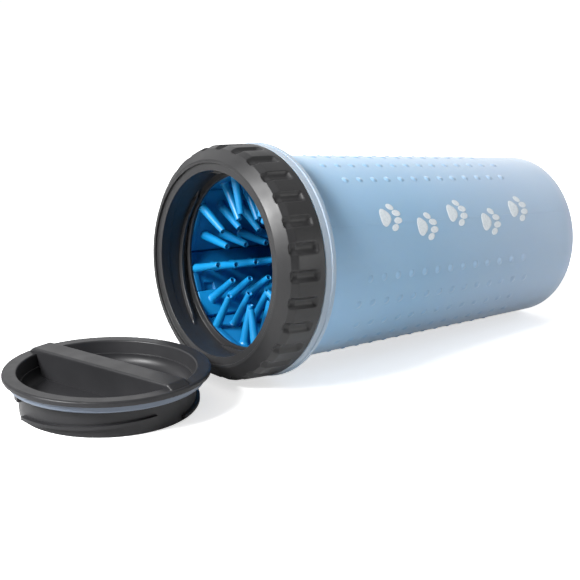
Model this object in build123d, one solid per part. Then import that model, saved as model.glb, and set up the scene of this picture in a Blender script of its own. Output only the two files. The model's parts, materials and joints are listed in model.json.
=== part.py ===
"""Paw washer cup: a tapered cup lying on its side, its screw collar, a bristle insert, and a dished lid.

Millimetres, +Z up. The cup's axis lies in the XZ plane and slopes down from the mouth to the base, because
the cup rests on its flange and on its base edge. The lid lies flat on the same floor, in front of the mouth.
Parts on the axis are drawn about +X, with x = 0 at the collar's front plane, and then placed together.
"""
from build123d import *
import math
import os

# Collar: outside, mouth and inner wall, as distances from the front plane and radii
COLLAR_R = 65.5
COLLAR_LENGTH = 26.8
CHAMFER_END = 4.7
CHAMFER_R = 63.7
FRONT_LIP_R = 57.8
RIM_R = 56.0
LEDGE_DEPTH = 1.5
BORE_R = 51.6
BORE_DEPTH = 18.8
MOUTH_R = 48.2
MOUTH_RING = 1.7
INNER_WALL_R = 55.2
WEB_DEPTH = 4.0
SKIRT_WALL = 3.2
GRIP_COUNT = 28
GRIP_PHASE = 72.3
GRIP_WIDTH = 6.6
GRIP_DEPTH = 1.8
GRIP_START = 3.6
GRIP_END = 22.6

# Cup: neck, flange, tapered body and base
NECK_START = 5.4
NECK_R_IN = 56.3
NECK_R = 59.4
FLANGE_START = 27.2
FLANGE_END = 34.1
FLANGE_R = 65.95
FLANGE_ROUND = 0.8
BODY_START_R = 58.8
BASE_R = 49.75
CUP_END = 247.3
BASE_ROUND = 3.3
CUP_WALL = 2.0
BASE_THICKNESS = 2.6
FOOT_R = 42.0
FOOT_RECESS = 1.2

# Neck thread between cup and collar: two starts, right-handed
NECK_LEAD = 12.0
NECK_STARTS = 2
NECK_RIB_WIDTH = 2.2
NECK_RIB_HEIGHT = 2.1
NECK_RIB_START = 8.0
NECK_RIB_TURNS = 1.15
COLLAR_RIB_HEIGHT = 2.0
COLLAR_RIB_START = 17.5
COLLAR_RIB_TURNS = 0.3

# Lid lugs inside the collar
LUG_COUNT = 3
LUG_HEIGHT = 1.9
LUG_WIDTH = 2.2
LUG_TURN = 0.27
LUG_START = 12.6
LUG_PHASE = 35.0
LID_LEAD = 20.0

# Collar seal
SEAL_R_IN = 56.4
SEAL_R_OUT = 61.6

# Bristle insert
PANEL_COUNT = 8
PANEL_PHASE = -117.5
INSERT_START = 20.9
INSERT_END = 168.0
APOTHEM_START = 51.0
APOTHEM_END = 46.6
PANEL_THICKNESS = 2.0
PANEL_GAP = 1.0
WEB_THICKNESS = 0.6
WEB_CLEARANCE = 0.02
PANEL_LIP_LENGTH = 3.2
PANEL_LIP_HEIGHT = 1.1
CLOSURE_PANEL = 0
FLAP_INNER_EDGE = 4.4
FLAP_THICKNESS = 1.5
SLOT_LENGTH = 7.0
SLOT_WIDTH = 4.6
SLOT_START = 27.0
SLOT_OFFSET = 1.6
COLUMN_ANGLE = 11.25
BRISTLE_LENGTH = 24.0
BRISTLE_BASE_R = 2.4
BRISTLE_TIP_R = 1.6
BRISTLE_PITCH = 13.5
BRISTLE_FIRST = 30.0
BRISTLE_LAST = 163.0
BRISTLE_STAGGER = 6.75

# Lid: centre from the mouth, then heights above the floor and radii
LID_X = -67.7
LID_Y = 3.0
LID_FLANGE_R = 55.5
LID_TOP = 22.2
LID_FLANGE_BOTTOM = 19.0
LID_FLANGE_ROUND = 1.2
DISH_R = 47.7
DISH_WALL_R = 46.3
DISH_WALL_Z = 15.2
DISH_LEDGE = 0.7
DISH_FLOOR = 8.7
DISH_FILLET = 6.0
LID_FLOOR = 2.2
SKIRT_R = 47.0
SKIRT_TOP_R = 47.8
SKIRT_IN_R = 44.8
GROOVE_R = 48.8
GROOVE_BOTTOM = 15.0
BEAD_R = 49.6
LID_RIB_HEIGHT = 2.3
LID_RIB_WIDTH = 2.6
LID_RIB_START_Z = 2.7
LID_RIB_TURN = 0.27
LID_RIB_PHASE = 172.0
STOP_Z = (10.8, 13.8)
STOP_WIDTH_ANGLE = 7.0
STOP_PLACE_ANGLE = 166.0
BAR_ANGLE = -77.0
BAR_WIDTH = 14.0
BAR_TOP = 24.9
BAR_END = 53.9
BAR_WALL = 2.2
GASKET_R = 52.2

PANEL_HALF = math.pi / PANEL_COUNT


def base_round_radius():
    """Distance from the axis to the centre of the base edge's round, which is tangent to the sloping wall."""
    slope = (BODY_START_R - BASE_R) / (CUP_END - FLANGE_END)
    return BASE_R + BASE_ROUND * (slope - math.hypot(1, slope))


def tilt_and_height():
    """Slope of the axis (radians, down towards the base) and height of the mouth's centre, from two contacts."""
    run = (CUP_END - BASE_ROUND) - (FLANGE_END - FLANGE_ROUND)
    drop = (FLANGE_R - FLANGE_ROUND) - base_round_radius()
    slope = math.atan2(drop, run) - math.asin((BASE_ROUND - FLANGE_ROUND) / math.hypot(run, drop))
    s = FLANGE_END - FLANGE_ROUND
    height = s * math.sin(slope) + (FLANGE_R - FLANGE_ROUND) * math.cos(slope) + FLANGE_ROUND
    return slope, height


TILT, MOUTH_Z = tilt_and_height()
# The base edge's round reaches furthest along +X, and the lid's flange furthest along -X.
X_HIGH = (CUP_END - BASE_ROUND) * math.cos(TILT) + base_round_radius() * math.sin(TILT) + BASE_ROUND
X_LOW = LID_X - LID_FLANGE_R
CENTRE_X = (X_HIGH + X_LOW) / 2


def place_on_axis(shape):
    """Moves a shape drawn about +X onto the cup's sloping axis."""
    return Pos(-CENTRE_X, 0, MOUTH_Z) * Rot(0, math.degrees(TILT), 0) * shape


def place_lid(shape):
    """Moves a shape drawn about +Z on the floor to the lid's place."""
    return Pos(LID_X - CENTRE_X, LID_Y, 0) * shape


def turned(points, radii, axis=Axis.X):
    """Solid of revolution from a closed outline of (along, radius) points with a round at each corner."""
    if axis == Axis.Z:
        outline = FilletPolyline(*[(r, 0, z) for z, r in points], radius=radii, close=True)
    else:
        outline = FilletPolyline(*[(s, r, 0) for s, r in points], radius=radii, close=True)
    return revolve(make_face(outline), axis, 360)


def helical_rib(lead, turns, root_r, height, width, start, phase):
    """Trapezoidal rib along a right-handed helix about +X. A negative height points inwards."""
    sink = math.copysign(0.5, height)
    helix = Helix(pitch=lead, height=lead * turns, radius=root_r - sink)
    section = Plane(origin=helix @ 0, x_dir=(1, 0, 0), z_dir=helix % 0)
    crest = sink + height
    outline = Polyline((0, -width / 2), (crest, -width / 3), (crest, width / 3), (0, width / 2), close=True)
    rib = sweep(section * make_face(outline), path=helix, is_frenet=True)
    return Pos(start, 0, 0) * Rot(0, 90, 0) * Rot(0, 0, phase) * rib


def on_axis(s, radius, angle):
    """Point about +X. The angle is in degrees from +Z, growing towards -Y."""
    a = math.radians(angle)
    return Vector(s, -radius * math.sin(a), radius * math.cos(a))


def cup():
    slope = (BODY_START_R - BASE_R) / (CUP_END - FLANGE_END)
    inner_end = CUP_END - BASE_THICKNESS - FOOT_RECESS
    inner_end_r = BASE_R - CUP_WALL + slope * (CUP_END - inner_end)
    points = [
        (NECK_START, NECK_R_IN),
        (NECK_START, NECK_R),
        (FLANGE_START, NECK_R),
        (FLANGE_START, FLANGE_R),
        (FLANGE_END, FLANGE_R),
        (FLANGE_END, BODY_START_R),
        (CUP_END, BASE_R),
        (CUP_END, FOOT_R),
        (CUP_END - FOOT_RECESS, FOOT_R - 1),
        (CUP_END - FOOT_RECESS, 0),
        (inner_end, 0),
        (inner_end, inner_end_r),
        (FLANGE_START, NECK_R_IN),
    ]
    radii = [0.6, 0.6, 0.5, 0.4, FLANGE_ROUND, 0.5, BASE_ROUND, 0.4, 0.4, 0, 0, 3.0, 5.0]
    body = turned(points, radii)
    for k in range(NECK_STARTS):
        body += helical_rib(NECK_LEAD, NECK_RIB_TURNS, NECK_R, NECK_RIB_HEIGHT, NECK_RIB_WIDTH,
                            NECK_RIB_START, k * 360 / NECK_STARTS)
    return body


def grip_recess():
    """Capsule-shaped cutter along +X that leaves one shallow grip recess."""
    half = GRIP_WIDTH / 2
    radius = (half ** 2 + GRIP_DEPTH ** 2) / (2 * GRIP_DEPTH)
    centre_r = COLLAR_R - GRIP_DEPTH + radius
    end = math.sqrt(radius ** 2 - (radius - GRIP_DEPTH) ** 2)
    start = GRIP_START + end / 2
    stop = GRIP_END - end
    cutter = Pos((start + stop) / 2, 0, centre_r) * Rot(0, 90, 0) * Cylinder(radius, stop - start)
    for s in (start, stop):
        cutter += Pos(s, 0, centre_r) * Sphere(radius)
    return cutter


def collar():
    skirt_in = COLLAR_R - SKIRT_WALL
    points = [
        (0, RIM_R),
        (0, FRONT_LIP_R),
        (CHAMFER_END, CHAMFER_R),
        (CHAMFER_END + 4, COLLAR_R),
        (COLLAR_LENGTH, COLLAR_R),
        (COLLAR_LENGTH, skirt_in),
        (WEB_DEPTH, skirt_in),
        (WEB_DEPTH, INNER_WALL_R),
        (BORE_DEPTH, INNER_WALL_R),
        (BORE_DEPTH, BORE_R),
        (LEDGE_DEPTH, BORE_R),
        (LEDGE_DEPTH, RIM_R),
    ]
    radii = [0.3, 0.8, 0.5, 5.0, 0.8, 0.3, 0.3, 0.3, 0.2, 0.2, 0.35, 0.3]
    body = turned(points, radii)
    for k in range(GRIP_COUNT):
        body -= Rot(GRIP_PHASE + k * 360 / GRIP_COUNT, 0, 0) * grip_recess()
    half_pitch = NECK_LEAD / NECK_STARTS / 2
    start_angle = 360 * (COLLAR_RIB_START - NECK_RIB_START - half_pitch) / NECK_LEAD
    for k in range(NECK_STARTS):
        body += helical_rib(NECK_LEAD, COLLAR_RIB_TURNS, skirt_in, -COLLAR_RIB_HEIGHT, NECK_RIB_WIDTH,
                            COLLAR_RIB_START, start_angle + k * 360 / NECK_STARTS)
    for k in range(LUG_COUNT):
        body += helical_rib(LID_LEAD, LUG_TURN, BORE_R, -LUG_HEIGHT, LUG_WIDTH,
                            LUG_START, LUG_PHASE + k * 360 / LUG_COUNT)
    return body


def mouth_ring():
    """Flat ring at the back of the collar's bore. It keeps the insert in the cup."""
    points = [
        (BORE_DEPTH, MOUTH_R),
        (BORE_DEPTH, INNER_WALL_R),
        (BORE_DEPTH + MOUTH_RING, INNER_WALL_R),
        (BORE_DEPTH + MOUTH_RING, MOUTH_R),
    ]
    return turned(points, [0.4, 0.2, 0.3, 0.4])


def collar_seal():
    points = [
        (WEB_DEPTH, SEAL_R_IN),
        (WEB_DEPTH, SEAL_R_OUT),
        (NECK_START, SEAL_R_OUT),
        (NECK_START, SEAL_R_IN),
    ]
    return turned(points, 0.3)


def panel_frame(k):
    """Places a shape drawn on the panel facing +Z at panel k's angle about +X."""
    return Rot(PANEL_PHASE + k * 360 / PANEL_COUNT, 0, 0)


def apothem(s):
    """Distance from the axis to the panels' outer faces."""
    share = (s - INSERT_START) / (INSERT_END - INSERT_START)
    return APOTHEM_START + share * (APOTHEM_END - APOTHEM_START)


def tapered_bar(depth_out, depth_in, edges, s_from=INSERT_START, s_to=INSERT_END):
    """Lofted bar on the panel facing +Z, between two depths below its outer face.

    edges gives the side positions (low, high) for an apothem and a depth.
    """
    sections = []
    for s in (s_from, s_to):
        outer = apothem(s) - depth_out
        inner = apothem(s) - depth_in
        low_out, high_out = edges(outer)
        low_in, high_in = edges(inner)
        corners = [(s, low_out, outer), (s, high_out, outer), (s, high_in, inner), (s, low_in, inner)]
        sections.append(make_face(Polyline(*corners, close=True)))
    return loft(sections, ruled=True)


def panel_edges(distance):
    half = distance * math.tan(PANEL_HALF) - PANEL_GAP / 2
    return -half, half


def flap_edges(distance):
    return FLAP_INNER_EDGE, panel_edges(distance)[1]


def widened_edges(distance):
    low, high = panel_edges(distance)
    return low - WEB_CLEARANCE, high + WEB_CLEARANCE


def lip_beside_flap(distance):
    return panel_edges(distance)[0], FLAP_INNER_EDGE - 0.4


def panel_plate():
    return tapered_bar(0, PANEL_THICKNESS, panel_edges)


def panel_lip(k):
    """Low bar across the front edge of panel k."""
    edges = lip_beside_flap if k == CLOSURE_PANEL else panel_edges
    depth = PANEL_THICKNESS + PANEL_LIP_HEIGHT
    return tapered_bar(PANEL_THICKNESS, depth, edges, s_to=INSERT_START + PANEL_LIP_LENGTH)


def insert_panel(k):
    plate = panel_plate() + panel_lip(k)
    if k == CLOSURE_PANEL:
        slot = Box(SLOT_LENGTH, SLOT_WIDTH, 4 * PANEL_THICKNESS)
        plate -= Pos(SLOT_START + SLOT_LENGTH / 2, SLOT_OFFSET, apothem(SLOT_START)) * slot
    return panel_frame(k) * plate


def closure_flap():
    return panel_frame(CLOSURE_PANEL) * tapered_bar(
        PANEL_THICKNESS, PANEL_THICKNESS + FLAP_THICKNESS, flap_edges)


def bristle():
    """One tapered bristle along +Z, its foot at z = 0, with a dimple in its tip."""
    tip = BRISTLE_LENGTH
    points = [
        (0, 0),
        (0, BRISTLE_BASE_R),
        (tip, BRISTLE_TIP_R),
        (tip, 0.8),
        (tip - 0.8, 0),
    ]
    return turned(points, [0, 0, 0.5, 0.2, 0], Axis.Z)


def bristle_rows(column):
    first = BRISTLE_FIRST - (BRISTLE_STAGGER if column % 2 else 0)
    count = int((BRISTLE_LAST - first) // BRISTLE_PITCH) + 1
    return [first + i * BRISTLE_PITCH for i in range(count)]


def bristle_group(k):
    """The bristles of one panel: two staggered columns aimed at the axis, with feet cut to the panel's face."""
    one = bristle()
    lip_end = INSERT_START + PANEL_LIP_LENGTH
    solids = []
    for column, side in enumerate((-COLUMN_ANGLE, COLUMN_ANGLE)):
        on_flap = k == CLOSURE_PANEL and column == 0
        floor_depth = PANEL_THICKNESS + (FLAP_THICKNESS if on_flap else 0)
        below_floor = tapered_bar(-8, floor_depth, lambda d: (-30, 30), 10, INSERT_END + 10)
        below_floor += tapered_bar(-8, PANEL_THICKNESS + PANEL_LIP_HEIGHT, lambda d: (-30, 30), 10, lip_end)
        for s in bristle_rows(column):
            foot_r = (apothem(s) - floor_depth) / math.cos(math.radians(side)) + 1.0
            standing = Pos(s, 0, foot_r) * Rot(180, 0, 0) * one
            leaning = Rot(side, 0, 0) * standing
            solids += (panel_frame(k) * (leaning - below_floor)).solids()
    return Compound(children=solids)


def octagon_tube():
    """Thin eight-sided tapered tube whose outer faces are the panels' outer faces."""
    sections = []
    for inset in (0, WEB_THICKNESS):
        faces = []
        for s in (INSERT_START, INSERT_END):
            corner_r = (apothem(s) - inset) / math.cos(PANEL_HALF)
            corners = [on_axis(s, corner_r, math.degrees(PANEL_HALF) * (2 * i + 1)) for i in range(PANEL_COUNT)]
            faces.append(make_face(Polyline(*corners, close=True)))
        sections.append(loft(faces, ruled=True))
    return Rot(PANEL_PHASE, 0, 0) * (sections[0] - sections[1])


def hinge_webs():
    """The thin strips of silicone that join each panel to the next."""
    webs = octagon_tube()
    for k in range(PANEL_COUNT):
        webs -= panel_frame(k) * tapered_bar(-1, PANEL_THICKNESS, widened_edges)
    return Compound(children=webs.solids())


def lid_shell_profile():
    points = [
        (0, SKIRT_IN_R),
        (0, SKIRT_R),
        (GROOVE_BOTTOM - 1.0, SKIRT_TOP_R),
        (GROOVE_BOTTOM - 0.8, BEAD_R),
        (GROOVE_BOTTOM, BEAD_R),
        (GROOVE_BOTTOM, GROOVE_R),
        (LID_FLANGE_BOTTOM, GROOVE_R),
        (LID_FLANGE_BOTTOM, LID_FLANGE_R),
        (LID_TOP, LID_FLANGE_R),
        (LID_TOP, DISH_R),
        (DISH_WALL_Z, DISH_WALL_R),
        (DISH_WALL_Z, DISH_WALL_R - DISH_LEDGE),
        (DISH_FLOOR, DISH_WALL_R - DISH_LEDGE - 0.2),
        (DISH_FLOOR, 0),
        (DISH_FLOOR - LID_FLOOR, 0),
        (DISH_FLOOR - LID_FLOOR, SKIRT_IN_R - 1.8),
        (DISH_FLOOR - 0.4, SKIRT_IN_R),
    ]
    radii = [0.4, 0.6, 0.2, 0.2, 0.2, 0.2, 0.2, 1.0, LID_FLANGE_ROUND, 1.0, 0.2, 0.2, DISH_FILLET, 0, 0, 0.5, 0.5]
    return turned(points, radii, Axis.Z)


def handle_bar():
    """Crossbar over the dish, with rounded top edges and ends that ramp down to the rim."""
    side = [
        (-BAR_END, LID_FLANGE_BOTTOM + 1),
        (-BAR_END, LID_TOP),
        (-BAR_END + 3.5, BAR_TOP),
        (BAR_END - 3.5, BAR_TOP),
        (BAR_END, LID_TOP),
        (BAR_END, LID_FLANGE_BOTTOM + 1),
        (SKIRT_TOP_R - 0.6, LID_FLANGE_BOTTOM + 1),
        (SKIRT_R - 1.6, DISH_FLOOR - 1),
        (-SKIRT_R + 1.6, DISH_FLOOR - 1),
        (-SKIRT_TOP_R + 0.6, LID_FLANGE_BOTTOM + 1),
    ]
    radii = [0, 1.5, 2.5, 2.5, 1.5, 0, 0, 0, 0, 0]
    outline = FilletPolyline(*[(x, 0, z) for x, z in side], radius=radii, close=True)
    bar = extrude(make_face(outline), BAR_WIDTH / 2, dir=(0, 1, 0), both=True)
    top = bar.edges().filter_by(Axis.X).group_by(Axis.Z)[-1]
    return fillet(top, 1.4)


def lid():
    shell = lid_shell_profile()
    for k in range(LUG_COUNT):
        turn = LID_RIB_PHASE + k * 360 / LUG_COUNT
        rib = helical_rib(LID_LEAD, LID_RIB_TURN, SKIRT_R, LID_RIB_HEIGHT, LID_RIB_WIDTH, 0, 0)
        shell += Rot(0, 0, turn) * (Pos(0, 0, LID_RIB_START_Z) * Rot(0, -90, 0) * rib)
    stop_height = STOP_Z[1] - STOP_Z[0]
    stop = Box(LID_RIB_HEIGHT + 0.5, math.radians(STOP_WIDTH_ANGLE) * BEAD_R, stop_height)
    shell += Rot(0, 0, STOP_PLACE_ANGLE) * (Pos(BEAD_R - 1.0, 0, STOP_Z[0] + stop_height / 2) * stop)
    bar = Rot(0, 0, BAR_ANGLE) * handle_bar()
    shell += bar
    hollow = Box(2 * (SKIRT_IN_R - 4), BAR_WIDTH - 2 * BAR_WALL, BAR_TOP - BAR_WALL)
    shell -= Rot(0, 0, BAR_ANGLE) * (Pos(0, 0, (BAR_TOP - BAR_WALL) / 2) * hollow)
    return shell


def lid_gasket():
    clearance = 0.05
    points = [
        (GROOVE_BOTTOM + clearance, GROOVE_R + clearance),
        (GROOVE_BOTTOM + clearance, GASKET_R),
        (LID_FLANGE_BOTTOM - clearance, GASKET_R),
        (LID_FLANGE_BOTTOM - clearance, GROOVE_R + clearance),
    ]
    return turned(points, [0.2, 1.0, 0.8, 0.2], Axis.Z)


def save(shape, node):
    export_step(shape, f"parts/{node}.step")


def main():
    os.makedirs("parts", exist_ok=True)
    save(place_on_axis(cup()), "cup")
    save(place_on_axis(collar()), "collar")
    save(place_on_axis(mouth_ring()), "mouth_ring")
    save(place_on_axis(collar_seal()), "collar_seal")
    for k in range(PANEL_COUNT):
        save(place_on_axis(insert_panel(k)), f"insert_panel_{k + 1}")
        save(place_on_axis(bristle_group(k)), f"bristles_{k + 1}")
    save(place_on_axis(closure_flap()), "closure_flap")
    save(place_on_axis(hinge_webs()), "hinge_webs")
    save(place_lid(lid()), "lid")
    save(place_lid(lid_gasket()), "lid_gasket")
    print(f"tilt {math.degrees(TILT):.3f} deg, mouth height {MOUTH_Z:.3f}, centre x {CENTRE_X:.3f}")


main()
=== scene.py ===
"""Looks of the paw washer cup: frosted cup, soft-touch collar, silicone bristle insert and dished lid.

The cup's axis is read from the collar's joint. Distances along it (s), radii and angles follow the part:
s = 0 at the collar's front plane, growing towards the base; angle 0 is up, growing towards -Y.
Sizes are in millimetres.
"""

import bmesh
import bpy
import json
import math
import random
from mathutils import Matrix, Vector


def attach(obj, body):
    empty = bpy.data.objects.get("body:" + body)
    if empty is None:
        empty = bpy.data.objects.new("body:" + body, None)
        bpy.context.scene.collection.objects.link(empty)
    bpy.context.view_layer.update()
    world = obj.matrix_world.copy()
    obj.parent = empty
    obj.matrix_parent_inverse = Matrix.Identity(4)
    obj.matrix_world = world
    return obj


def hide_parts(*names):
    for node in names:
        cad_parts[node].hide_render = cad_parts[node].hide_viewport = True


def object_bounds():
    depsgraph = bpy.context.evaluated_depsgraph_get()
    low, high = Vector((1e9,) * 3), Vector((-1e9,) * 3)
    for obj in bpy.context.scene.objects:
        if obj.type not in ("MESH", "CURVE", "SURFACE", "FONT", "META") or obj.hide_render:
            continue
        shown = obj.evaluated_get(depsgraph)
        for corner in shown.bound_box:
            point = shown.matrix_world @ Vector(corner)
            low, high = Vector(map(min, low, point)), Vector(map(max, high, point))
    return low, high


MM = 0.001
RNG_SEED = 7

# Stage: the light that the floor bounces and shows, its half size in metres, and the world's light
FLOOR_BOUNCE = 0.74
FLOOR_SHOWN = 0.94
FLOOR_GLOW = 0.63
FLOOR_HALF = 12
FLOOR_DROP = 0.02
WORLD_BRIGHT_SIDE = Vector((0.45, 0.4, 0.8))
WORLD_DIM = 0.03
WORLD_BRIGHT = 0.85
WORLD_BRIGHT_FROM = 0.8
WORLD_STRENGTH = 0.66

# Softboxes: name, direction from the object, distance, width and height in metres, and watts
LIGHT_TARGET = Vector((0, 0, 0.06))
LIGHTS = (
    ("key_softbox", (-0.82, 0.0, 0.57), 1.5, (0.6, 0.5), 47),
    ("back_softbox", (0.1, 0.95, 0.55), 1.7, (2.2, 0.8), 5),
    ("fill_softbox", (0.62, -0.78, 0.12), 1.6, (1.4, 0.35), 5.5),
)

# Camera, in metres from the mouth's centre
CAMERA_FROM_MOUTH = Vector((-0.45005, -0.62572, 0.19793))
CAMERA_YAW = 38.93
CAMERA_PITCH = -15.44
LENS = 89.44
SENSOR_WIDTH = 36
NEAR_CLIP = 0.05

# Collar, as in the part, with a shallow relief added in its bore
COLLAR_R = 65.5
COLLAR_LENGTH = 26.8
FRONT_LIP_R = 57.8
CHAMFER_END = 4.7
CHAMFER_R = 63.7
SHOULDER_LENGTH = 4.0
COLLAR_IN_R = 62.3
WEB_DEPTH = 4.0
INNER_WALL_R = 55.2
BORE_R = 51.6
BORE_DEPTH = 18.8
BORE_RELIEF = 0.25
RELIEF_START = 5.6
RELIEF_FULL = 5.9
RING_END = 20.5
MOUTH_R = 48.2
RIM_R = 56.0
LEDGE_DEPTH = 1.5

# Grip recesses: scooped, so slightly deeper, wider and further back than the part's plain slots
GRIP_COUNT = 28
GRIP_PHASE = 72.3
GRIP_HALF = 3.4
GRIP_DEPTH = 2.2
GRIP_START = 4.0
GRIP_END = 22.9
GRIP_CORNER = 2.2
GRIP_WALL = 3.2
GRIP_SOFTNESS = 0.4

# Mesh columns of the collar, in degrees from a grip recess's middle
WALL_FROM = 1.6
WALL_TO = 3.4
WALL_STEP = 0.2
WALL_COLUMNS = 10
RECESS_COLUMNS = (-1.4, -0.8, -0.25, 0.25, 0.8, 1.4)
LAND_PARTS = 7

# Threads, as in the part, with turns in degrees
RIB_WIDTH = 2.2
RIB_SINK = 0.4
RIB_END_SINK = 0.1
RIB_STEP = 1.5
NECK_LEAD = 12.0
NECK_R = 59.4
NECK_STARTS = 2
NECK_RIB_START = 8.0
NECK_RIB_TURN = 414
NECK_RIB_HEIGHT = 2.1
COLLAR_RIB_START = 17.5
COLLAR_RIB_TURN = 108
COLLAR_RIB_HEIGHT = 2.0
LID_LEAD = 20.0
LUG_COUNT = 3
LUG_START = 12.6
LUG_ANGLE = 215.0
LUG_TURN = 97.2
LUG_HEIGHT = 1.9

# Cup body, as in the part, with a small step added in its flange
NECK_START = 5.4
NECK_R_IN = 56.3
FLANGE_START = 27.2
FLANGE_END = 34.1
FLANGE_R = 65.95
FLANGE_STEP = 31.0
FLANGE_STEP_HEIGHT = 0.6
FLANGE_STEP_SLANT = 0.45
BODY_START_R = 58.8
BASE_R = 49.75
BASE_THICKNESS = 2.6
FOOT_RECESS = 1.2
FOOT_R = 42.0
CUP_WALL = 2.0
CUP_END = 247.3
WALL_SLOPE = (BODY_START_R - BASE_R) / (CUP_END - FLANGE_END)
CUP_COLUMNS = 256
CUP_ROW = 12

# Raised nubs on the cup
NUB_ROWS = 24
NUB_FIRST_ANGLE = 32.3
NUB_PER_ROW = 13
NUB_START = 66.6
NUB_PITCH = 10.87
NUB_R = 2.3
NUB_HEIGHT = 0.72
NUB_SINK = 0.3
NUB_RINGS = 9

# Mould's parting line, and the ink prints that take the place of three rows of nubs
PARTING_HALF = 0.2
PARTING_LIFT = 0.06
PARTING_SINK = 0.1
PARTING_STEPS = 40
PRINT_ROWS = (1, 2, 3)
PRINT_ANGLE = 62.2
PRINT_COUNT = 5
PRINT_START = 86
PRINT_PITCH = 27.5
PRINT_SWAY = 3.4
INK_LIFT = 0.07

# Bristle insert, as in the part
PANEL_COUNT = 8
PANEL_PHASE = -117.5
PANEL_HALF = math.pi / PANEL_COUNT
PANEL_GAP = 1.0
INSERT_START = 20.9
INSERT_END = 168.0
APOTHEM_START = 51.0
APOTHEM_END = 46.6
PANEL_THICKNESS = 2.0
LIP_LENGTH = 3.2
LIP_HEIGHT = 1.1
LIP_FOOT = 1.2
SHEET_ROUND = 0.3
FLAP_EDGE = 4.4
FLAP_GAP = 0.4
FLAP_THICKNESS = 1.5
FLAP_ROUND = 0.35
SLOT = (27.0, 34.0, -0.7, 3.9)
SLOT_DEPTH = 1.5
COLUMN_ANGLE = 11.25

# Bristles: placed as in the part, but stouter and with a flared foot
BRISTLE_LENGTH = 24.0
BRISTLE_BASE_R = 2.7
BRISTLE_TIP_R = 1.85
BRISTLE_PITCH = 13.5
BRISTLE_FIRST = 30.0
BRISTLE_LAST = 163.0
BRISTLE_STAGGER = 6.75
BRISTLE_SINK = 0.9
BRISTLE_LEAN = 1.1
BRISTLE_FLARE_END = 2.6
BRISTLE_TAPER_END = 0.7
BRISTLE_TAPER_STEPS = 6

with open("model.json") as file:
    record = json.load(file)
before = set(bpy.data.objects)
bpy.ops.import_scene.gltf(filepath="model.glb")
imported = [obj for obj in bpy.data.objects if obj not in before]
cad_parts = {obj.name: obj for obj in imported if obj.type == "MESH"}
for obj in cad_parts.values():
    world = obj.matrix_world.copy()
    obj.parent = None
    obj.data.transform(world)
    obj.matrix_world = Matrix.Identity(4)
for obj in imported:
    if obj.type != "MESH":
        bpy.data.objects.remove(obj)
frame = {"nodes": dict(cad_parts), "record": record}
cad_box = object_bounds()
record = frame["record"]
nodes = frame["nodes"]
joints = {j["name"]: j for j in record["behaviour"]["joints"]}
MOUTH = Vector(joints["collar_turn"]["pos_m"])
ALONG = -Vector(joints["collar_turn"]["axis"]).normalized()
UP = Vector((-ALONG.z, 0, ALONG.x))
SIDE = Vector((0, -1, 0))
random.seed(RNG_SEED)


def radial(angle):
    """Unit vector away from the cup's axis."""
    a = math.radians(angle)
    return UP * math.cos(a) + SIDE * math.sin(a)


def on_axis(s, radius, angle):
    """Point of the shared frame, in metres, at a place given along and round the cup's axis."""
    return MOUTH + ALONG * (s * MM) + radial(angle) * (radius * MM)


def body_radius(s):
    """Outer radius of the cup's tapered wall."""
    return BODY_START_R - WALL_SLOPE * (s - FLANGE_END)


# ---------------------------------------------------------------- materials

def grey(value):
    return value, value, value


class Shader:
    """Small helper that builds one Principled material node by node."""

    def __init__(self, name, **values):
        self.material = bpy.data.materials.new(name)
        self.material.use_nodes = True
        self.nodes = self.material.node_tree.nodes
        self.links = self.material.node_tree.links
        self.surface = self.nodes["Principled BSDF"]
        for key, value in values.items():
            self.surface.inputs[key.replace("_", " ")].default_value = value

    def add(self, kind, **settings):
        node = self.nodes.new(kind)
        for key, value in settings.items():
            setattr(node, key, value)
        return node

    def link(self, source, target):
        self.links.new(source, target)

    def place(self):
        """Object coordinates, in metres."""
        return self.add("ShaderNodeTexCoord").outputs["Object"]

    def noise(self, scale, detail=2.0, roughness=0.5):
        node = self.add("ShaderNodeTexNoise")
        node.inputs["Scale"].default_value = scale
        node.inputs["Detail"].default_value = detail
        node.inputs["Roughness"].default_value = roughness
        self.link(self.place(), node.inputs["Vector"])
        return node.outputs["Fac"]

    def ramp(self, factor, stops):
        node = self.add("ShaderNodeValToRGB")
        elements = node.color_ramp.elements
        while len(elements) < len(stops):
            elements.new(0.5)
        for element, (position, color) in zip(elements, stops):
            element.position = position
            element.color = (*color, 1)
        self.link(factor, node.inputs["Fac"])
        return node.outputs["Color"]

    def grey_ramp(self, factor, low, high, start=0.3, end=0.7):
        return self.ramp(factor, [(start, grey(low)), (end, grey(high))])

    def along(self, direction, start, length):
        """0 to 1 along a direction, from a distance of start over a length, both in metres."""
        dot = self.add("ShaderNodeVectorMath", operation="DOT_PRODUCT")
        self.link(self.place(), dot.inputs[0])
        dot.inputs[1].default_value = direction
        span = self.add("ShaderNodeMapRange")
        span.inputs["From Min"].default_value = start
        span.inputs["From Max"].default_value = start + length
        self.link(dot.outputs["Value"], span.inputs["Value"])
        return span.outputs["Result"]

    def bump(self, height, strength, distance):
        node = self.add("ShaderNodeBump")
        node.inputs["Strength"].default_value = strength
        node.inputs["Distance"].default_value = distance
        self.link(height, node.inputs["Height"])
        self.link(node.outputs["Normal"], self.surface.inputs["Normal"])

    def to(self, socket, output):
        self.link(output, self.surface.inputs[socket])


def soft_touch(name, dark, light, roughness, specular):
    """Dark moulded plastic with a fine grain and faint handling marks."""
    m = Shader(name, Specular_IOR_Level=specular)
    m.to("Base Color", m.ramp(m.noise(35, 4), [(0.3, dark), (0.7, light)]))
    m.to("Roughness", m.grey_ramp(m.noise(90, 3), roughness - 0.05, roughness + 0.05))
    m.bump(m.noise(2600, 2), 0.10, 0.0001)
    return m.material


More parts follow.
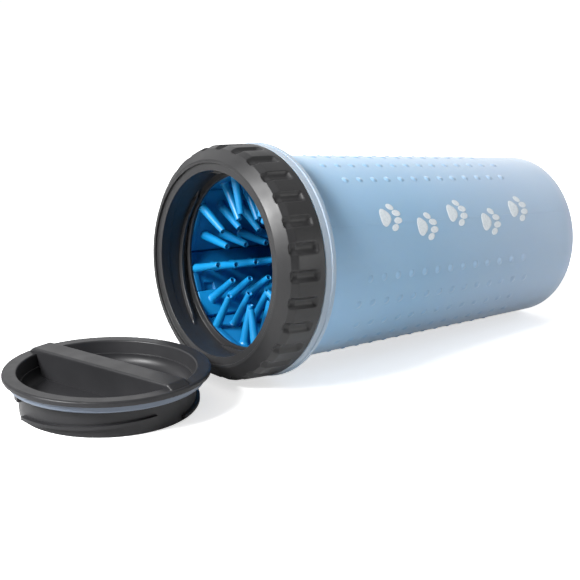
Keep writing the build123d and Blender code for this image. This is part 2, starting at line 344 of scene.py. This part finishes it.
def frosted_cup(name, scatter):
    """Frosted blue polypropylene: bluest over the insert, where the blue insert seen through the frosted
    wall is painted in, paler at the flange and the base, with a painted highlight on the base's rounded
    rim.

    The ramp's stops are shares of the cup's length.
    """
    m = Shader(name, Subsurface_Weight=scatter, Subsurface_Scale=0.007, Specular_IOR_Level=0.4,
               Sheen_Weight=0.5, Sheen_Roughness=0.4)
    m.surface.inputs["Subsurface Radius"].default_value = (0.5, 0.75, 1.0)
    share = m.along(ALONG, MOUTH.dot(ALONG), CUP_END * MM)
    # Painted in: the deeper blue stands for the insert seen through the wall, and the lighter last stop
    # is a painted highlight on the base's rim
    m.to("Base Color", m.ramp(share, [
        (0.110, (0.30, 0.36, 0.43)), (0.140, (0.29, 0.37, 0.46)), (0.148, (0.255, 0.435, 0.63)),
        (0.42, (0.255, 0.435, 0.63)), (0.68, (0.32, 0.465, 0.64)), (0.80, (0.35, 0.48, 0.65)),
        (0.965, (0.39, 0.51, 0.67)), (0.985, (0.46, 0.55, 0.69))]))
    m.to("Roughness", m.grey_ramp(m.noise(60, 3), 0.50, 0.58))
    m.bump(m.noise(1500, 2), 0.04, 0.0001)
    return m.material


def silicone(name, dark, light, roughness):
    """Smooth moulded silicone; the sheet's darker copy is painted shade for the shade inside the cup."""
    m = Shader(name, Specular_IOR_Level=0.5)
    m.to("Base Color", m.ramp(m.noise(45, 3), [(0.3, dark), (0.7, light)]))
    m.to("Roughness", m.grey_ramp(m.noise(160, 3), roughness - 0.05, roughness + 0.06))
    m.bump(m.noise(1800, 2), 0.06, 0.0001)
    return m.material


def ink(name):
    """Screen-printed white ink, very slightly uneven."""
    m = Shader(name, Specular_IOR_Level=0.4)
    tones = [(0.35, (0.62, 0.68, 0.73)), (0.6, (0.70, 0.76, 0.80))]
    m.to("Base Color", m.ramp(m.noise(900, 3), tones))
    m.to("Roughness", m.grey_ramp(m.noise(400, 2), 0.45, 0.6))
    return m.material


def floor_paint(name):
    """White sweep that glows a little towards the lens and bounces less light than it shows."""
    m = Shader(name, Specular_IOR_Level=0.0)
    lens = m.add("ShaderNodeLightPath").outputs["Is Camera Ray"]
    m.to("Base Color", m.ramp(lens, [(0.0, grey(FLOOR_BOUNCE)), (1.0, grey(FLOOR_SHOWN))]))
    glow = m.add("ShaderNodeMath", operation="MULTIPLY")
    m.link(lens, glow.inputs[0])
    glow.inputs[1].default_value = FLOOR_GLOW
    m.surface.inputs["Emission Color"].default_value = (1, 1, 1, 1)
    m.to("Emission Strength", glow.outputs["Value"])
    m.to("Roughness", m.grey_ramp(m.noise(8, 2), 0.75, 0.85))
    return m.material


# ---------------------------------------------------------------- mesh helpers

def finish_piece(bm, name, material, body, replaced=(), flat_angle=40):
    """Turns a bmesh into a shaded object that rides on a body."""
    bmesh.ops.recalc_face_normals(bm, faces=bm.faces)
    mesh = bpy.data.meshes.new(name)
    bm.to_mesh(mesh)
    bm.free()
    mesh.materials.append(material)
    mesh.shade_smooth()
    mesh.set_sharp_from_angle(angle=math.radians(flat_angle))
    piece = bpy.data.objects.new(name, mesh)
    bpy.context.scene.collection.objects.link(piece)
    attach(piece, body)
    if replaced:
        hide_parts(*replaced)


def rounded(points, radii):
    """Closed outline with an arc at each corner, as the part's outlines have."""
    outline = []
    for i, radius in enumerate(radii):
        corner = Vector(points[i])
        if radius == 0:
            outline.append(corner)
            continue
        back = (Vector(points[i - 1]) - corner).normalized()
        ahead = (Vector(points[(i + 1) % len(points)]) - corner).normalized()
        half = back.angle(ahead) / 2
        centre = corner + (back + ahead).normalized() * (radius / math.sin(half))
        first = corner + back * (radius / math.tan(half)) - centre
        last = corner + ahead * (radius / math.tan(half)) - centre
        turn = math.pi - 2 * half
        if first.x * last.y - first.y * last.x < 0:
            turn = -turn
        steps = max(2, math.ceil(abs(turn) / math.radians(11)))
        for j in range(steps + 1):
            a = turn * j / steps
            c, t = math.cos(a), math.sin(a)
            outline.append(centre + Vector((first.x * c - first.y * t, first.x * t + first.y * c)))
    return outline


def refined(outline, step, keep):
    """Adds points to the outline's long runs wherever keep(point) is true at both ends."""
    result = []
    for i, a in enumerate(outline):
        b = outline[(i + 1) % len(outline)]
        count = max(1, math.ceil((b - a).length / step)) if keep(a) and keep(b) else 1
        result += [a.lerp(b, j / count) for j in range(count)]
    return result


def ring_strip(bm, lower, upper):
    count = len(lower)
    for i in range(count):
        j = (i + 1) % count
        bm.faces.new((lower[i], lower[j], upper[j], upper[i]))


def join_rings(bm, rings):
    """Faces between neighbouring rings; a ring of one vertex is a pole."""
    for low, high in zip(rings, rings[1:]):
        if len(low) == 1 and len(high) == 1:
            continue
        if len(low) == 1 or len(high) == 1:
            pole, ring = (low[0], high) if len(low) == 1 else (high[0], low)
            for i in range(len(ring)):
                bm.faces.new((pole, ring[i], ring[(i + 1) % len(ring)]))
        else:
            ring_strip(bm, low, high)


def lathe(bm, outline, angles, reshape=None):
    """Closed solid of revolution of (s, radius) points.

    reshape(s, radius, angle), where given, returns the radius to use.
    """
    rings = []
    for s, radius in outline:
        if radius < 1e-6:
            rings.append([bm.verts.new(on_axis(s, 0, 0))])
            continue
        ring = []
        for angle in angles:
            r = reshape(s, radius, angle) if reshape else radius
            ring.append(bm.verts.new(on_axis(s, r, angle)))
        rings.append(ring)
    join_rings(bm, rings + rings[:1])


def stalk(bm, foot, direction, profile, segments, bend=None):
    """Small turned solid from (height, radius) points in metres, standing on foot."""
    across = direction.orthogonal().normalized()
    other = direction.cross(across)
    rings = []
    for height, radius in profile:
        centre = foot + direction * height + (bend(height) if bend else Vector())
        if radius == 0:
            rings.append([bm.verts.new(centre)])
            continue
        ring = []
        for i in range(segments):
            a = 2 * math.pi * i / segments
            ring.append(bm.verts.new(centre + (across * math.cos(a) + other * math.sin(a)) * radius))
        rings.append(ring)
    join_rings(bm, rings)


def rib(bm, root_r, height, width, start, angle, turn, lead, ramp=9.0):
    """Helical rib whose ends ramp up from the surface. A negative height points inwards.

    The section is in shares of the width and the height; None marks its buried foot.
    """
    out = math.copysign(1, height)
    section = [
        (-0.5, None), (-0.48, 0.0), (-0.36, 0.9), (-0.28, 1.0),
        (0.28, 1.0), (0.36, 0.9), (0.48, 0.0), (0.5, None)]
    steps = math.ceil(turn / RIB_STEP)
    rings = []
    for i in range(steps + 1):
        a = turn * i / steps
        rise = min(1.0, a / ramp, (turn - a) / ramp)
        rise = rise * rise * (3 - 2 * rise)
        ring = []
        for u, v in section:
            lift = -RIB_SINK if v is None else v * abs(height) * rise - RIB_END_SINK * (1 - rise)
            s = start + lead * a / 360 + u * width
            ring.append(bm.verts.new(on_axis(s, root_r + out * lift, angle + a)))
        rings.append(ring)
    join_rings(bm, rings)
    bm.faces.new(rings[0])
    bm.faces.new(rings[-1])


# ---------------------------------------------------------------- collar

def grip_angles():
    """Angles of the collar's mesh, closest together at the walls of the grip recesses."""
    pitch = 360 / GRIP_COUNT
    fine = [WALL_STEP * i for i in range(WALL_COLUMNS)]
    offsets = [a - WALL_TO for a in fine] + list(RECESS_COLUMNS) + [a + WALL_FROM for a in fine]
    land = pitch - 2 * WALL_TO
    offsets += [WALL_TO + land * i / LAND_PARTS for i in range(1, LAND_PARTS)]
    return [GRIP_PHASE + k * pitch + offset for k in range(GRIP_COUNT) for offset in offsets]


def grip_radius(s, radius, angle):
    """Radius with the grip recesses scooped into it, rounded at the corners and soft at the edges."""
    if radius < FRONT_LIP_R + 2 or s > COLLAR_LENGTH - 1:
        return radius
    pitch = 360 / GRIP_COUNT
    off = (angle - GRIP_PHASE + pitch / 2) % pitch - pitch / 2
    across = abs(math.radians(off)) * COLLAR_R - (GRIP_HALF - GRIP_CORNER)
    along = abs(s - (GRIP_START + GRIP_END) / 2) - ((GRIP_END - GRIP_START) / 2 - GRIP_CORNER)
    outside = math.hypot(max(across, 0), max(along, 0)) + min(max(across, along), 0) - GRIP_CORNER
    if outside > 1:
        return radius
    wall = min(1.0, max(0.0, -outside) / GRIP_WALL)
    shoulder_slope = (COLLAR_R - CHAMFER_R) / SHOULDER_LENGTH
    shoulder = min(COLLAR_R, CHAMFER_R + (s - CHAMFER_END) * shoulder_slope)
    cut = shoulder - GRIP_DEPTH * wall * (2 - wall) + max(0.0, outside)
    blend = max(GRIP_SOFTNESS - abs(radius - cut), 0) / GRIP_SOFTNESS
    return min(radius, cut) - blend * blend * GRIP_SOFTNESS / 4


def make_collar(material):
    """Screw ring with its chamfer, grip recesses, stepped mouth, lugs for the lid and thread ribs."""
    lip_slope = (CHAMFER_R - FRONT_LIP_R) / CHAMFER_END
    points = [
        (0, RIM_R), (0, FRONT_LIP_R), (2.4, FRONT_LIP_R + 2.4 * lip_slope), (CHAMFER_END, CHAMFER_R),
        (CHAMFER_END + SHOULDER_LENGTH, COLLAR_R), (COLLAR_LENGTH, COLLAR_R),
        (COLLAR_LENGTH, COLLAR_IN_R), (WEB_DEPTH, COLLAR_IN_R), (WEB_DEPTH, INNER_WALL_R),
        (RING_END, INNER_WALL_R), (RING_END, MOUTH_R), (BORE_DEPTH, MOUTH_R),
        (BORE_DEPTH, BORE_R + BORE_RELIEF), (LEDGE_DEPTH + RELIEF_START, BORE_R + BORE_RELIEF),
        (LEDGE_DEPTH + RELIEF_FULL, BORE_R), (LEDGE_DEPTH, BORE_R), (LEDGE_DEPTH, RIM_R)]
    radii = [0.25, 0.5, 0, 0.25, 3.0, 0.8, 0.3, 0.3, 0.3, 0.3, 0.4, 0.4, 0.5, 0.1, 0.1, 0.3, 0.25]
    outline = refined(
        rounded(points, radii), 0.4,
        lambda p: p.y > FRONT_LIP_R + 2.5 and p.x < COLLAR_LENGTH - 0.5)
    bm = bmesh.new()
    lathe(bm, outline, grip_angles(), grip_radius)
    for k in range(LUG_COUNT):
        angle = LUG_ANGLE + k * 360 / LUG_COUNT
        rib(bm, BORE_R, -LUG_HEIGHT, RIB_WIDTH, LUG_START, angle, LUG_TURN, LID_LEAD)
    # Midway between the neck's ribs, which are half a lead apart
    half_pitch = NECK_LEAD / NECK_STARTS / 2
    first = 180 + 360 * (COLLAR_RIB_START - NECK_RIB_START - half_pitch) / NECK_LEAD
    for k in range(NECK_STARTS):
        angle = first + k * 360 / NECK_STARTS
        rib(bm, COLLAR_IN_R, -COLLAR_RIB_HEIGHT, RIB_WIDTH, COLLAR_RIB_START, angle,
            COLLAR_RIB_TURN, NECK_LEAD)
    finish_piece(bm, "grip_collar", material, "collar", ["collar", "mouth_ring"], 32)


# ---------------------------------------------------------------- cup

def make_cup(material):
    """Hollow tapered wall with a threaded neck, a stepped flange and a recess in the base."""
    inner_end = CUP_END - FOOT_RECESS - BASE_THICKNESS
    step_r = FLANGE_R - FLANGE_STEP_HEIGHT
    points = [
        (NECK_START, NECK_R_IN), (NECK_START, NECK_R), (FLANGE_START, NECK_R), (FLANGE_START, step_r),
        (FLANGE_STEP, step_r), (FLANGE_STEP + FLANGE_STEP_SLANT, FLANGE_R), (FLANGE_END, FLANGE_R),
        (FLANGE_END, BODY_START_R), (CUP_END, BASE_R), (CUP_END, FOOT_R),
        (CUP_END - FOOT_RECESS, FOOT_R - 1), (CUP_END - FOOT_RECESS, 0), (inner_end, 0),
        (inner_end, BASE_R - CUP_WALL + WALL_SLOPE * (CUP_END - inner_end)), (FLANGE_START, NECK_R_IN)]
    radii = [0.6, 0.6, 0.5, 0.5, 0.3, 0.25, 0.8, 0.5, 3.3, 0.4, 0.4, 0, 0, 3.0, 5.0]
    outline = refined(rounded(points, radii), CUP_ROW, lambda p: p.y > 0)
    bm = bmesh.new()
    lathe(bm, outline, [360 * i / CUP_COLUMNS for i in range(CUP_COLUMNS)])
    for k in range(NECK_STARTS):
        angle = 180 + k * 360 / NECK_STARTS
        rib(bm, NECK_R, NECK_RIB_HEIGHT, RIB_WIDTH, NECK_RIB_START, angle, NECK_RIB_TURN,
            NECK_LEAD)
    finish_piece(bm, "frosted_cup_body", material, "cup", ["cup"], 32)


def nub_places():
    """(s, angle) of each nub: odd rows start half a pitch earlier, with one nub more.

    The rows that the print covers are left out.
    """
    places = []
    for row in range(NUB_ROWS):
        if row in PRINT_ROWS:
            continue
        start = NUB_START - (NUB_PITCH / 2 if row % 2 else 0)
        for i in range(NUB_PER_ROW + row % 2):
            places.append((start + i * NUB_PITCH, NUB_FIRST_ANGLE + row * 360 / NUB_ROWS))
    return places


def make_nubs(material):
    """Low soft domes, each with a closed foot sunk into the wall."""
    bm = bmesh.new()
    dome = [(0.0, 0.0), (0.0, NUB_R + 0.1)]
    for i in range(NUB_RINGS):
        share = 1 - i / NUB_RINGS
        dome.append((NUB_SINK + NUB_HEIGHT * (1 - share ** 2) ** 1.5 - 0.03, NUB_R * share))
    dome.append((NUB_SINK + NUB_HEIGHT, 0.0))
    slope = math.atan(WALL_SLOPE)
    for s, angle in nub_places():
        normal = radial(angle) * math.cos(slope) + ALONG * math.sin(slope)
        foot = on_axis(s, body_radius(s), angle) - normal * (NUB_SINK * MM)
        stalk(bm, foot, normal, [(h * MM, r * MM) for h, r in dome], 18)
    finish_piece(bm, "grip_nubs", material, "cup", (), 60)


def make_parting_line(material):
    """Hairline left by the mould's two halves, on both sides of the cup."""
    bm = bmesh.new()
    for angle in (PRINT_ANGLE, PRINT_ANGLE + 180):
        rows = []
        for i in range(PARTING_STEPS + 1):
            s = FLANGE_END + 0.6 + (CUP_END - FLANGE_END - 5) * i / PARTING_STEPS
            half = math.degrees(PARTING_HALF / body_radius(s))
            section = [(-half, -PARTING_SINK), (-half * 0.5, PARTING_LIFT), (half * 0.5, PARTING_LIFT),
                       (half, -PARTING_SINK)]
            rows.append([bm.verts.new(on_axis(s, body_radius(s) + h, angle + a)) for a, h in section])
        join_rings(bm, rows)
        bm.faces.new(rows[0])
        bm.faces.new(rows[-1])
    finish_piece(bm, "parting_line", material, "cup")


def pad_outline(half_u, half_v, lobe):
    """Rounded outline of one pad, drawn out towards +u by lobe."""
    points = []
    for j in range(48):
        a = 2 * math.pi * j / 48
        r = 1 + lobe * math.cos(3 * a)
        points.append((half_u * r * math.cos(a), half_v * r * math.sin(a)))
    return points


def make_print(material):
    """A trail of paw prints in white ink. A pad is its place (u, v), half sizes, turn and lobe."""
    pads = [
        (-3.6, 0.0, 4.1, 5.2, 0, 0.10), (2.5, -6.2, 2.9, 1.85, 24, 0), (5.9, -2.25, 3.2, 1.9, 7, 0),
        (5.9, 2.25, 3.2, 1.9, -7, 0), (2.5, 6.2, 2.9, 1.85, -24, 0)]
    section = (
        (0.35, INK_LIFT), (0.7, INK_LIFT), (0.97, INK_LIFT), (1.0, 0.02), (1.0, -0.2))
    bm = bmesh.new()
    for i in range(PRINT_COUNT):
        s0 = PRINT_START + i * PRINT_PITCH
        v0 = PRINT_SWAY if i % 2 else -PRINT_SWAY
        for u, v, half_u, half_v, turn, lobe in pads:
            c, t = math.cos(math.radians(turn)), math.sin(math.radians(turn))
            rings = [[bm.verts.new(print_point(s0 + u, v0 + v, INK_LIFT))]]
            for share, lift in section:
                ring = []
                for x, y in pad_outline(half_u * share, half_v * share, lobe):
                    place = (s0 + u + x * c - y * t, v0 + v + x * t + y * c)
                    ring.append(bm.verts.new(print_point(*place, lift)))
                rings.append(ring)
            join_rings(bm, rings)
            bm.faces.new(rings[-1])
    finish_piece(bm, "paw_prints", material, "cup")


def print_point(s, v, lift):
    """Point above the wall: s along the axis, v round the cup in millimetres from the print's middle."""
    radius = body_radius(s)
    return on_axis(s, radius + lift, PRINT_ANGLE + math.degrees(v / radius))


# ---------------------------------------------------------------- bristle insert

def apothem(s):
    """Distance from the axis to a panel's outer face."""
    share = (s - INSERT_START) / (INSERT_END - INSERT_START)
    return APOTHEM_START + share * (APOTHEM_END - APOTHEM_START)


def panel_point(k, s, y, depth):
    """Point on panel k: s along the axis, y across the panel, depth inwards from its outer face."""
    angle = PANEL_PHASE + k * 360 / PANEL_COUNT
    return on_axis(s, apothem(s) - depth, angle) + radial(angle - 90) * (y * MM)


def panel_half(s, depth):
    """Half the width of a panel at a depth, less its share of the gap to the next."""
    return (apothem(s) - depth) * math.tan(PANEL_HALF) - PANEL_GAP / 2


def bevelled_bar(bm, k, depths, edges, s_from, s_to, bevel):
    """Closed bar on panel k between two depths; edges(s, depth) gives its two sides."""
    before = set(bm.verts)
    rows = []
    for s in (s_from, s_to):
        row = []
        for depth, side in ((depths[0], 0), (depths[0], 1), (depths[1], 1), (depths[1], 0)):
            row.append(bm.verts.new(panel_point(k, s, edges(s, depth)[side], depth)))
        rows.append(row)
    ring_strip(bm, rows[0], rows[1])
    bm.faces.new(rows[0])
    bm.faces.new(rows[1])
    made = {e for v in bm.verts if v not in before for e in v.link_edges}
    bmesh.ops.bevel(bm, geom=list(made), offset=bevel * MM, segments=3, profile=0.5, affect="EDGES")


def whole_width(s, depth):
    half = panel_half(s, depth)
    return -half, half


def beside_flap(s, depth):
    return -panel_half(s, depth), FLAP_EDGE - FLAP_GAP


def flap_width(s, depth):
    return FLAP_EDGE, panel_half(s, depth)


def slotted_plate(bm, k):
    """The closure panel's plate, with a pocket for the sheet's tab."""
    s_low, s_high, y_low, y_high = SLOT
    levels = []
    for depth in (0, PANEL_THICKNESS):
        grid = []
        for s in (INSERT_START, s_low, s_high, INSERT_END):
            half = panel_half(s, depth)
            across = (-half, y_low, y_high, half)
            grid.append([bm.verts.new(panel_point(k, s, y, depth)) for y in across])
        levels.append(grid)
    outer, inner = levels
    for i in range(3):
        for j in range(3):
            bm.faces.new((outer[i][j], outer[i + 1][j], outer[i + 1][j + 1], outer[i][j + 1]))
            if (i, j) != (1, 1):
                bm.faces.new((inner[i][j], inner[i + 1][j], inner[i + 1][j + 1], inner[i][j + 1]))
        for edge in (0, 3):
            bm.faces.new((outer[i][edge], outer[i + 1][edge], inner[i + 1][edge], inner[i][edge]))
            bm.faces.new((outer[edge][i], outer[edge][i + 1], inner[edge][i + 1], inner[edge][i]))
    floor = [bm.verts.new(panel_point(k, s, y, PANEL_THICKNESS - SLOT_DEPTH))
             for s, y in ((s_low, y_low), (s_low, y_high), (s_high, y_high), (s_high, y_low))]
    ring_strip(bm, [inner[1][1], inner[1][2], inner[2][2], inner[2][1]], floor)
    bm.faces.new(floor)
    bmesh.ops.recalc_face_normals(bm, faces=bm.faces)
    sharp = [e for e in bm.edges if e.calc_face_angle(0) > math.radians(30)]
    bmesh.ops.bevel(bm, geom=sharp, offset=SHEET_ROUND * MM, segments=3, profile=0.5, affect="EDGES")


def make_panel(k, material):
    """One flat of the sheet with the raised lip at its mouth end; panel 0 also has the tab's pocket."""
    bm = bmesh.new()
    lip_end = INSERT_START + LIP_LENGTH
    depth = PANEL_THICKNESS + LIP_HEIGHT
    if k == 0:
        slotted_plate(bm, k)
        bevelled_bar(bm, k, (LIP_FOOT, depth), beside_flap, INSERT_START, lip_end, SHEET_ROUND)
    else:
        bevelled_bar(bm, k, (0, PANEL_THICKNESS), whole_width, INSERT_START, INSERT_END, SHEET_ROUND)
        bevelled_bar(bm, k, (LIP_FOOT, depth), whole_width, INSERT_START, lip_end, SHEET_ROUND)
    node = f"insert_panel_{k + 1}"
    finish_piece(bm, f"silicone_panel_{k + 1}", material, "insert", [node], 35)


def make_flap(material):
    """The sheet's overlapping end, on top of panel 0."""
    bm = bmesh.new()
    depths = (PANEL_THICKNESS, PANEL_THICKNESS + FLAP_THICKNESS)
    bevelled_bar(bm, 0, depths, flap_width, INSERT_START, INSERT_END, FLAP_ROUND)
    finish_piece(bm, "overlap_flap", material, "insert", ["closure_flap"], 35)


def bristle_rows(column):
    """Places along the axis of one column's bristles; odd columns are staggered."""
    first = BRISTLE_FIRST - (BRISTLE_STAGGER if column % 2 else 0)
    count = int((BRISTLE_LAST - first) // BRISTLE_PITCH) + 1
    return [first + i * BRISTLE_PITCH for i in range(count)]


def bristle_profile():
    """(height, radius) from a sunk foot with a soft flare up to the dimpled tip."""
    length, base, tip = BRISTLE_LENGTH, BRISTLE_BASE_R, BRISTLE_TIP_R
    profile = [(0.0, 0.0), (0.0, base + 0.7), (BRISTLE_SINK, base + 0.55), (1.3, base + 0.22),
               (1.8, base + 0.05), (BRISTLE_FLARE_END, base - 0.04)]
    taper = length - BRISTLE_FLARE_END - BRISTLE_TAPER_END
    for i in range(1, BRISTLE_TAPER_STEPS + 1):
        share = i / BRISTLE_TAPER_STEPS
        profile.append((BRISTLE_FLARE_END + taper * share, base + (tip - base) * share))
    profile += [(length - 0.25, tip - 0.02), (length - 0.08, tip - 0.1), (length, tip - 0.28),
                (length - 0.06, tip - 0.46), (length - 0.3, tip - 0.56), (length - 1.0, tip - 0.66),
                (length - 1.25, tip - 0.85), (length - 1.3, 0.0)]
    return [(h * MM, r * MM) for h, r in profile]


def make_bristles(k, material):
    """Panel k's two columns of bristles, each pointing at the axis and leaning a little at random."""
    bm = bmesh.new()
    profile = bristle_profile()
    middle = PANEL_PHASE + k * 360 / PANEL_COUNT
    for column, side in enumerate((-COLUMN_ANGLE, COLUMN_ANGLE)):
        on_flap = k == 0 and column == 0
        depth = PANEL_THICKNESS + (FLAP_THICKNESS if on_flap else 0)
        angle = middle + side
        for s in bristle_rows(column):
            foot_r = (apothem(s) - depth) / math.cos(math.radians(side)) + BRISTLE_SINK
            foot = on_axis(s, foot_r, angle)
            lean = Vector([random.uniform(-1, 1) for _ in range(3)]) * (BRISTLE_LEAN * MM)

            def bend(height, lean=lean):
                return lean * (height / (BRISTLE_LENGTH * MM)) ** 2

            stalk(bm, foot, -radial(angle), profile, 24, bend)
    node = f"bristles_{k + 1}"
    finish_piece(bm, f"soft_bristles_{k + 1}", material, "insert", [node], 60)


# ---------------------------------------------------------------- stage

def make_floor(material):
    """Wide plane just under the object, out of the measured box."""
    bm = bmesh.new()
    bmesh.ops.create_grid(bm, x_segments=8, y_segments=8, size=FLOOR_HALF)
    mesh = bpy.data.meshes.new("floor")
    bm.to_mesh(mesh)
    bm.free()
    mesh.materials.append(material)
    floor = bpy.data.objects.new("floor", mesh)
    floor.location.z = cad_box[0].z - FLOOR_DROP * MM
    bpy.context.scene.collection.objects.link(floor)


def area_light(name, direction, distance, size, power):
    """Rectangular softbox aimed at the object's middle."""
    data = bpy.data.lights.new(name, "AREA")
    data.shape = "RECTANGLE"
    data.size, data.size_y = size
    data.energy = power
    light = bpy.data.objects.new(name, data)
    light.location = LIGHT_TARGET + Vector(direction).normalized() * distance
    light.rotation_euler = (LIGHT_TARGET - light.location).to_track_quat("-Z", "Y").to_euler()
    bpy.context.scene.collection.objects.link(light)


def make_world():
    """White studio: plain white to the lens; as light, brightest above and behind, dim at the mouth."""
    world = bpy.data.worlds.new("studio")
    world.use_nodes = True
    tree = world.node_tree
    background = tree.nodes["Background"]
    place = tree.nodes.new("ShaderNodeTexCoord")
    dot = tree.nodes.new("ShaderNodeVectorMath")
    dot.operation = "DOT_PRODUCT"
    ramp = tree.nodes.new("ShaderNodeValToRGB")
    low, high = ramp.color_ramp.elements
    low.position, low.color = 0.0, (*grey(WORLD_DIM), 1)
    high.position, high.color = WORLD_BRIGHT_FROM, (*grey(WORLD_BRIGHT), 1)
    tree.links.new(place.outputs["Generated"], dot.inputs[0])
    dot.inputs[1].default_value = WORLD_BRIGHT_SIDE.normalized()
    tree.links.new(dot.outputs["Value"], ramp.inputs["Fac"])
    tree.links.new(ramp.outputs["Color"], background.inputs["Color"])
    background.inputs["Strength"].default_value = WORLD_STRENGTH
    backdrop = tree.nodes.new("ShaderNodeBackground")
    backdrop.inputs["Color"].default_value = (1, 1, 1, 1)
    lens = tree.nodes.new("ShaderNodeLightPath")
    mix = tree.nodes.new("ShaderNodeMixShader")
    tree.links.new(lens.outputs["Is Camera Ray"], mix.inputs[0])
    tree.links.new(background.outputs["Background"], mix.inputs[1])
    tree.links.new(backdrop.outputs["Background"], mix.inputs[2])
    tree.links.new(mix.outputs["Shader"], tree.nodes["World Output"].inputs["Surface"])
    bpy.context.scene.world = world


def make_camera():
    data = bpy.data.cameras.new("camera")
    data.lens = LENS
    data.sensor_width = SENSOR_WIDTH
    data.clip_start = NEAR_CLIP
    camera = bpy.data.objects.new("camera", data)
    camera.location = MOUTH + CAMERA_FROM_MOUTH
    yaw, pitch = math.radians(CAMERA_YAW), math.radians(CAMERA_PITCH)
    look = Vector((math.sin(yaw) * math.cos(pitch), math.cos(yaw) * math.cos(pitch), math.sin(pitch)))
    camera.rotation_euler = look.to_track_quat("-Z", "Y").to_euler()
    bpy.context.scene.collection.objects.link(camera)
    bpy.context.scene.camera = camera


def set_material(node, material):
    mesh = nodes[node].data
    mesh.materials.clear()
    mesh.materials.append(material)


make_camera()
make_world()
for softbox in LIGHTS:
    area_light(*softbox)
make_floor(floor_paint("floor_paint"))
cup_material = frosted_cup("frosted_cup", scatter=0.4)
relief_material = frosted_cup("frosted_relief", scatter=0.0)
collar_material = soft_touch(
    "soft_touch_collar", (0.017, 0.017, 0.018), (0.023, 0.023, 0.024), roughness=0.42, specular=0.42)
lid_material = soft_touch(
    "satin_lid", (0.018, 0.018, 0.0195), (0.025, 0.025, 0.027), roughness=0.40, specular=0.28)
bristle_material = silicone(
    "blue_silicone", (0.002, 0.19, 0.45), (0.005, 0.225, 0.50), roughness=0.38)
# Same silicone as the bristles, made darker: painted shade inside the cup for the sheet's panels and
# hinge webs; the flap keeps the bristles' copy
sheet_painted_shade_material = silicone(
    "blue_silicone_painted_shade", (0.002, 0.13, 0.33), (0.004, 0.155, 0.37), roughness=0.40)
gasket_material = silicone(
    "gasket_silicone", (0.11, 0.14, 0.19), (0.14, 0.17, 0.22), roughness=0.35)
set_material("collar_seal", gasket_material)
set_material("lid", lid_material)
set_material("lid_gasket", gasket_material)
set_material("hinge_webs", sheet_painted_shade_material)
make_collar(collar_material)
make_cup(cup_material)
make_nubs(relief_material)
make_parting_line(relief_material)
make_print(ink("white_ink"))
make_flap(bristle_material)
for k in range(PANEL_COUNT):
    make_panel(k, sheet_painted_shade_material)
    make_bristles(k, bristle_material)
bpy.context.scene.view_settings.view_transform = "Standard"
